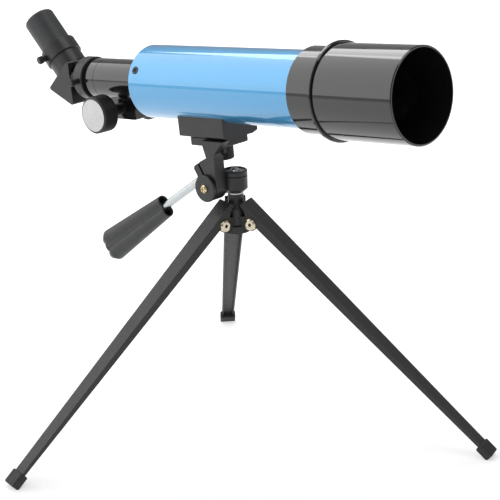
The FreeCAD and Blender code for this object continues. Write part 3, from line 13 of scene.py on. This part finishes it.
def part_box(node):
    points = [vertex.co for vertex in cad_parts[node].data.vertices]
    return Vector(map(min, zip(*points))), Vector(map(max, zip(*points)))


MM = 0.001

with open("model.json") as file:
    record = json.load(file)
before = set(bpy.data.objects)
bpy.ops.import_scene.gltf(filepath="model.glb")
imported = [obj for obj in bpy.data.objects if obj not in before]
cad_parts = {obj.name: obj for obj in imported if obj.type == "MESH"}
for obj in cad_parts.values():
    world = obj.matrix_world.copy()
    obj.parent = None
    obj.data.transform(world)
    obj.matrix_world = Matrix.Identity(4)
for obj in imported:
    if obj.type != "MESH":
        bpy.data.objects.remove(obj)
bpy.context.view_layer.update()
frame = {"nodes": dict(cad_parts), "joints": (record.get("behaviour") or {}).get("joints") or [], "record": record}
joints = {joint["name"]: joint for joint in frame["joints"]}


# ------------------------------------------------------------------ places
def joint_point(name):
    return Vector(joints[name]["pos_m"])


def joint_axis(name):
    return Vector(joints[name]["axis"]).normalized()


PAN = joint_point("pan")
TILT = joint_point("tilt")

# the camera stands in front and to the right, looks down and leans a little
CAMERA_FROM_PAN = Vector((825.6, -832.1, 0.0)) * MM
CAMERA_OVER_TILT = 353.0 * MM
CAMERA_HEADING = math.radians(44.32)
CAMERA_DIP = math.radians(19.08)
CAMERA_ROLL = math.radians(1.97)
LENS = 117.6
SENSOR_WIDTH = 36.0
FARTHEST_SEEN = 50.0

# painted light: the floor glows, though it is no lamp, more strongly along one fixed level direction, the one in
# which the camera faces
FLOOR_HALF = 6.0
FLOOR_GLOW_START = -0.6
FLOOR_GLOW_END = 1.4
FLOOR_GLOW_NEAR = 0.35
FLOOR_GLOW_FAR = 0.9

# name, place from the middle of the object, width, height, watts
LIGHTS = (
    ("main_left", (-1.11, -0.67, 0.76), 2.2, 1.8, 19.0),
    ("top_back", (-0.9, 0.8, 1.25), 1.2, 0.7, 8.0),
    ("overhead", (0.5, 0.2, 1.5), 1.0, 1.0, 6.0),
    ("fill_front", (0.5, -1.7, 0.5), 0.8, 0.8, 3.0),
    ("fill_right", (1.6, -0.3, 0.6), 0.8, 0.8, 1.5),
)
MIDDLE_HEIGHT = 0.2
SKY_STRENGTH = 0.35
WHITE = (1.0, 1.0, 1.0, 1.0)


# ------------------------------------------------------------------ material tools
class Nodes:
    """Short names for building one material's node tree."""

    def __init__(self, name):
        self.material = bpy.data.materials.new(name)
        self.material.use_nodes = True
        self.tree = self.material.node_tree
        self.shader = self.tree.nodes["Principled BSDF"]

    def add(self, kind, **settings):
        node = self.tree.nodes.new(kind)
        for key, setting in settings.items():
            setattr(node, key, setting)
        return node

    def link(self, source, target):
        self.tree.links.new(source, target)

    def set(self, **values):
        for key, setting in values.items():
            self.shader.inputs[key.replace("_", " ")].default_value = setting

    def place(self):
        return self.add("ShaderNodeTexCoord").outputs["Object"]

    def stretched(self, scale):
        mapping = self.add("ShaderNodeMapping")
        mapping.inputs["Scale"].default_value = scale
        self.link(self.place(), mapping.inputs["Vector"])
        return mapping.outputs["Vector"]

    def noise(self, scale, detail=4.0, rough=0.5, distortion=0.0, vector=None):
        node = self.add("ShaderNodeTexNoise")
        node.inputs["Scale"].default_value = scale
        node.inputs["Detail"].default_value = detail
        node.inputs["Roughness"].default_value = rough
        node.inputs["Distortion"].default_value = distortion
        self.link(vector or self.place(), node.inputs["Vector"])
        return node.outputs["Fac"]

    def cells(self, scale, feature="F1", metric="Distance"):
        node = self.add("ShaderNodeTexVoronoi", feature=feature)
        node.inputs["Scale"].default_value = scale
        self.link(self.place(), node.inputs["Vector"])
        return node.outputs[metric]

    def vector_math(self, operation, first, second=None):
        """Work on a socket's vector, with a fixed vector where the operation takes two."""
        node = self.add("ShaderNodeVectorMath", operation=operation)
        self.link(first, node.inputs[0])
        if second is not None:
            node.inputs[1].default_value = second
        return node

    def ramp(self, value, low, high, start=0.0, end=1.0):
        """Map start..end to low..high, and hold the ends."""
        node = self.add("ShaderNodeMapRange")
        node.inputs["From Min"].default_value = start
        node.inputs["From Max"].default_value = end
        node.inputs["To Min"].default_value = low
        node.inputs["To Max"].default_value = high
        self.link(value, node.inputs["Value"])
        return node.outputs["Result"]

    def mix(self, factor, first, second):
        """Go from the first colour to the second, each a socket or three numbers."""
        node = self.add("ShaderNodeMix", data_type="RGBA")
        self.link(factor, node.inputs["Factor"])
        for socket, colour in (("A", first), ("B", second)):
            target = [i for i in node.inputs if i.name == socket and i.type == "RGBA"][0]
            if hasattr(colour, "is_output"):
                self.link(colour, target)
            else:
                target.default_value = (*colour, 1.0)
        return [o for o in node.outputs if o.type == "RGBA"][0]

    def bump(self, height, strength, distance, after=None):
        node = self.add("ShaderNodeBump")
        node.inputs["Strength"].default_value = strength
        node.inputs["Distance"].default_value = distance
        self.link(height, node.inputs["Height"])
        if after is not None:
            self.link(after, node.inputs["Normal"])
        return node.outputs["Normal"]

    def colour(self, socket):
        self.link(socket, self.shader.inputs["Base Color"])

    def rough(self, socket):
        self.link(socket, self.shader.inputs["Roughness"])

    def normal(self, socket):
        self.link(socket, self.shader.inputs["Normal"])


# ------------------------------------------------------------------ finishes
def mottled(name, dark, light, rough_low, rough_high):
    """A finish whose colour and roughness drift a little, with a fine moulded grain."""
    nodes = Nodes(name)
    drift = nodes.noise(60.0, detail=5.0, rough=0.6)
    nodes.colour(nodes.mix(nodes.ramp(drift, 0.0, 1.0, start=0.3, end=0.7), dark, light))
    smear = nodes.noise(180.0, detail=6.0, rough=0.65, distortion=0.4)
    nodes.rough(nodes.ramp(smear, rough_low, rough_high, start=0.3, end=0.7))
    grain = nodes.noise(1500.0, detail=3.0, rough=0.6)
    nodes.normal(nodes.bump(grain, strength=0.25, distance=0.04 * MM))
    return nodes


def knob_cap(name, dark, light, rough_low, rough_high):
    """A mottled disc in a black rim, told apart by the distance from the focus shaft's line."""
    nodes = mottled(name, dark, light, rough_low, rough_high)
    low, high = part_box("knob_cap_left")
    rim_width = 0.9 * MM
    rim_blur = 0.2 * MM
    black = (0.008, 0.008, 0.008)
    disc_radius = (high[2] - low[2]) / 2 - rim_width
    offset = nodes.vector_math("SUBTRACT", nodes.place(), joint_point("focus_turn"))
    across = nodes.vector_math("CROSS_PRODUCT", offset.outputs["Vector"], joint_axis("focus_turn"))
    reach = nodes.vector_math("LENGTH", across.outputs["Vector"])
    rim = nodes.ramp(reach.outputs["Value"], 0.0, 1.0, start=disc_radius, end=disc_radius + rim_blur)
    disc = nodes.shader.inputs["Base Color"].links[0].from_socket
    nodes.colour(nodes.mix(rim, disc, black))
    return nodes


def tube_paint():
    """Glossy metallic blue lacquer: fine flake under a clear coat with a slight orange peel."""
    nodes = Nodes("tube_paint")
    nodes.set(Metallic=0.7, Coat_Weight=1.0, Coat_Roughness=0.03, Coat_IOR=1.9)
    flake = nodes.add("ShaderNodeSeparateColor")
    nodes.link(nodes.cells(9000.0, metric="Color"), flake.inputs["Color"])
    shade = nodes.ramp(flake.outputs["Red"], 0.0, 1.0)
    nodes.colour(nodes.mix(shade, (0.020, 0.265, 0.54), (0.034, 0.315, 0.61)))
    nodes.rough(nodes.ramp(nodes.noise(90.0, detail=5.0), 0.36, 0.44))
    nodes.normal(nodes.bump(flake.outputs["Green"], strength=0.12, distance=0.02 * MM))
    peel = nodes.bump(nodes.noise(420.0, detail=2.0), strength=0.05, distance=0.02 * MM)
    nodes.link(peel, nodes.shader.inputs["Coat Normal"])
    return nodes


def gloss_black():
    """Polished black moulding with faint dust and rub marks."""
    nodes = Nodes("gloss_black")
    nodes.set(Specular_IOR_Level=0.55, Coat_Weight=0.6, Coat_Roughness=0.04)
    drift = nodes.noise(35.0, detail=5.0, rough=0.6)
    nodes.colour(nodes.mix(drift, (0.0045, 0.0045, 0.005), (0.009, 0.009, 0.010)))
    smear = nodes.noise(140.0, detail=7.0, rough=0.7, distortion=0.6)
    nodes.rough(nodes.ramp(smear, 0.07, 0.17, start=0.35, end=0.75))
    nodes.normal(nodes.bump(nodes.noise(260.0, detail=2.0), strength=0.06, distance=0.03 * MM))
    return nodes


def crackle():
    """Wrinkle-textured enamel: short crossing ridges, with a painted highlight on their crests and painted shade
    in the hollows.
    """
    nodes = Nodes("crackle_black")
    warp = nodes.noise(540.0, detail=4.0, rough=0.6, distortion=1.2)
    ridges = nodes.add("ShaderNodeMath", operation="ADD")
    nodes.link(warp, ridges.inputs[0])
    nodes.link(nodes.cells(900.0, feature="SMOOTH_F1"), ridges.inputs[1])
    height = ridges.outputs[0]
    # painted light and shade: colour lighter on the ridge crests and darker in the hollows, following the ridge
    # height
    lit_crest_shaded_hollow = nodes.ramp(height, 0.0, 1.0, start=0.5, end=1.3)
    nodes.colour(nodes.mix(lit_crest_shaded_hollow, (0.006, 0.006, 0.006), (0.022, 0.022, 0.022)))
    nodes.rough(nodes.ramp(warp, 0.38, 0.55, start=0.3, end=0.7))
    fine = nodes.bump(nodes.noise(3600.0, detail=3.0), strength=0.15, distance=0.04 * MM)
    nodes.normal(nodes.bump(height, strength=0.6, distance=0.25 * MM, after=fine))
    return nodes


def metal(name, dark, light, rough_low, rough_high, streak):
    """Metal with fine machining marks, drawn out along the axis whose streak number is small."""
    nodes = Nodes(name)
    nodes.set(Metallic=1.0)
    lines = nodes.noise(1.0, detail=6.0, rough=0.7, vector=nodes.stretched(streak))
    nodes.colour(nodes.mix(nodes.ramp(lines, 0.0, 1.0, start=0.3, end=0.7), dark, light))
    nodes.rough(nodes.ramp(lines, rough_low, rough_high, start=0.3, end=0.7))
    nodes.normal(nodes.bump(lines, strength=0.2, distance=0.02 * MM))
    return nodes


def glass(name, tint, coat):
    """Clear coated glass with a faint haze that dulls it in patches."""
    nodes = Nodes(name)
    nodes.set(Transmission_Weight=1.0, IOR=1.52, Coat_Weight=coat, Coat_Roughness=0.0)
    haze = nodes.noise(180.0, detail=6.0, rough=0.7)
    nodes.colour(nodes.mix(haze, tint, tuple(min(1.0, level * 1.02) for level in tint)))
    nodes.rough(nodes.ramp(haze, 0.0, 0.012, start=0.5, end=0.9))
    return nodes


# slot: dark colour, light colour, lowest and highest roughness
MOULDED = {
    "satin_black": ((0.013, 0.013, 0.014), (0.02, 0.02, 0.022), 0.30, 0.42),
    "knob_black": ((0.008, 0.008, 0.008), (0.014, 0.014, 0.014), 0.38, 0.5),
    "eyepiece_black": ((0.02, 0.022, 0.023), (0.028, 0.030, 0.031), 0.42, 0.52),
    "anodised_black": ((0.01, 0.01, 0.011), (0.016, 0.016, 0.017), 0.3, 0.45),
    "nylon": ((0.010, 0.010, 0.010), (0.018, 0.018, 0.018), 0.4, 0.55),
    "black_screw": ((0.006, 0.006, 0.006), (0.014, 0.013, 0.012), 0.25, 0.4),
    "head_black": ((0.012, 0.012, 0.013), (0.019, 0.019, 0.021), 0.34, 0.46),
    "grip_black": ((0.020, 0.021, 0.022), (0.030, 0.031, 0.033), 0.42, 0.55),
    "boot_rubber": ((0.010, 0.010, 0.010), (0.018, 0.018, 0.018), 0.55, 0.7),
}
# slot: dark colour, light colour, lowest and highest roughness, marks per metre along X, Y and Z
METALS = {
    "barrel_metal": ((0.022, 0.022, 0.024), (0.038, 0.038, 0.040), 0.2, 0.32, (900.0, 900.0, 900.0)),
    "steel": ((0.42, 0.42, 0.43), (0.60, 0.60, 0.61), 0.22, 0.38, (1800.0, 1800.0, 300.0)),
    "brass": ((0.52, 0.40, 0.22), (0.74, 0.62, 0.40), 0.14, 0.28, (1200.0, 1200.0, 400.0)),
    "rivet_brass": ((0.42, 0.36, 0.25), (0.80, 0.74, 0.60), 0.10, 0.2, (700.0, 700.0, 700.0)),
    "cap_metal": ((0.10, 0.10, 0.10), (0.22, 0.22, 0.22), 0.3, 0.5, (1500.0, 1500.0, 200.0)),
    "rod_aluminium": ((0.46, 0.49, 0.50), (0.60, 0.63, 0.64), 0.2, 0.34, (200.0, 2600.0, 200.0)),
}
FINISHES = {
    "tube_blue": tube_paint(),
    "gloss_black": gloss_black(),
    "crackle_black": crackle(),
    "cap_white": knob_cap("cap_white", (0.56, 0.56, 0.57), (0.63, 0.63, 0.64), 0.22, 0.34),
    "crown_glass": glass("crown_glass", (0.92, 0.97, 1.0), coat=0.4),
    "flint_glass": glass("flint_glass", (0.96, 0.98, 0.95), coat=0.2),
}
for slot_name, look in MOULDED.items():
    FINISHES[slot_name] = mottled(slot_name, *look)
for slot_name, look in METALS.items():
    FINISHES[slot_name] = metal(slot_name, *look)

# the focuser's mouldings are polished, though they share a slot with the satin diagonal
POLISHED = ("focuser_housing", "focuser_end_cap", "pinion_cover")


def dress_cad_nodes():
    """Give every CAD node the finish of its slot in the record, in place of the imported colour."""
    slot_of = {part["node"]: part["material_slot"] for part in frame["record"]["subparts"]}
    for name, node in frame["nodes"].items():
        finish = FINISHES["gloss_black" if name in POLISHED else slot_of[name]].material
        if not node.material_slots:
            node.data.materials.append(finish)
        for slot in node.material_slots:
            slot.material = finish


# ------------------------------------------------------------------ stage, lights and camera
def add_object(name, data):
    item = bpy.data.objects.new(name, data)
    bpy.context.scene.collection.objects.link(item)
    return item


def make_stage():
    nodes = Nodes("studio_floor")
    grain = nodes.noise(6.0)
    nodes.colour(nodes.mix(grain, (0.62, 0.62, 0.62), (0.65, 0.65, 0.65)))
    nodes.rough(nodes.ramp(grain, 0.75, 0.85))
    behind = (-math.sin(CAMERA_HEADING), math.cos(CAMERA_HEADING), 0.0)
    away = nodes.vector_math("DOT_PRODUCT", nodes.place(), behind)
    # painted light: the floor's emission grows with distance behind the object, along the camera's heading
    glow = nodes.ramp(away.outputs["Value"], FLOOR_GLOW_NEAR, FLOOR_GLOW_FAR, FLOOR_GLOW_START, FLOOR_GLOW_END)
    nodes.set(Emission_Color=WHITE)
    nodes.link(glow, nodes.shader.inputs["Emission Strength"])
    corners = [(FLOOR_HALF * x, FLOOR_HALF * y, 0) for x, y in ((-1, -1), (1, -1), (1, 1), (-1, 1))]
    mesh = bpy.data.meshes.new("studio_floor")
    mesh.from_pydata(corners, [], [(0, 1, 2, 3)])
    mesh.materials.append(nodes.material)
    floor = add_object("studio_floor", mesh)


def make_lights():
    middle = Vector((PAN.x, PAN.y, MIDDLE_HEIGHT))
    for name, offset, width, height, watts in LIGHTS:
        data = bpy.data.lights.new(name, "AREA")
        data.shape = "RECTANGLE"
        data.size = width
        data.size_y = height
        data.energy = watts
        light = add_object(name, data)
        light.location = middle + Vector(offset)
        light.rotation_euler = (-Vector(offset)).to_track_quat("-Z", "Y").to_euler()


def make_sky():
    world = bpy.data.worlds.new("studio")
    world.use_nodes = True
    background = world.node_tree.nodes["Background"]
    background.inputs["Color"].default_value = WHITE
    background.inputs["Strength"].default_value = SKY_STRENGTH
    bpy.context.scene.world = world
    bpy.context.scene.view_settings.view_transform = "Standard"


def make_camera():
    data = bpy.data.cameras.new("camera")
    data.lens = LENS
    data.sensor_width = SENSOR_WIDTH
    data.clip_end = FARTHEST_SEEN
    camera = add_object("camera", data)
    heading = Matrix.Rotation(CAMERA_HEADING, 4, "Z")
    dip = Matrix.Rotation(math.radians(90) - CAMERA_DIP, 4, "X")
    roll = Matrix.Rotation(-CAMERA_ROLL, 4, "Z")
    place = Vector((PAN.x, PAN.y, TILT.z + CAMERA_OVER_TILT)) + CAMERA_FROM_PAN
    camera.matrix_world = Matrix.Translation(place) @ heading @ dip @ roll
    bpy.context.scene.camera = camera


dress_cad_nodes()
make_stage()
make_lights()
make_sky()
make_camera()
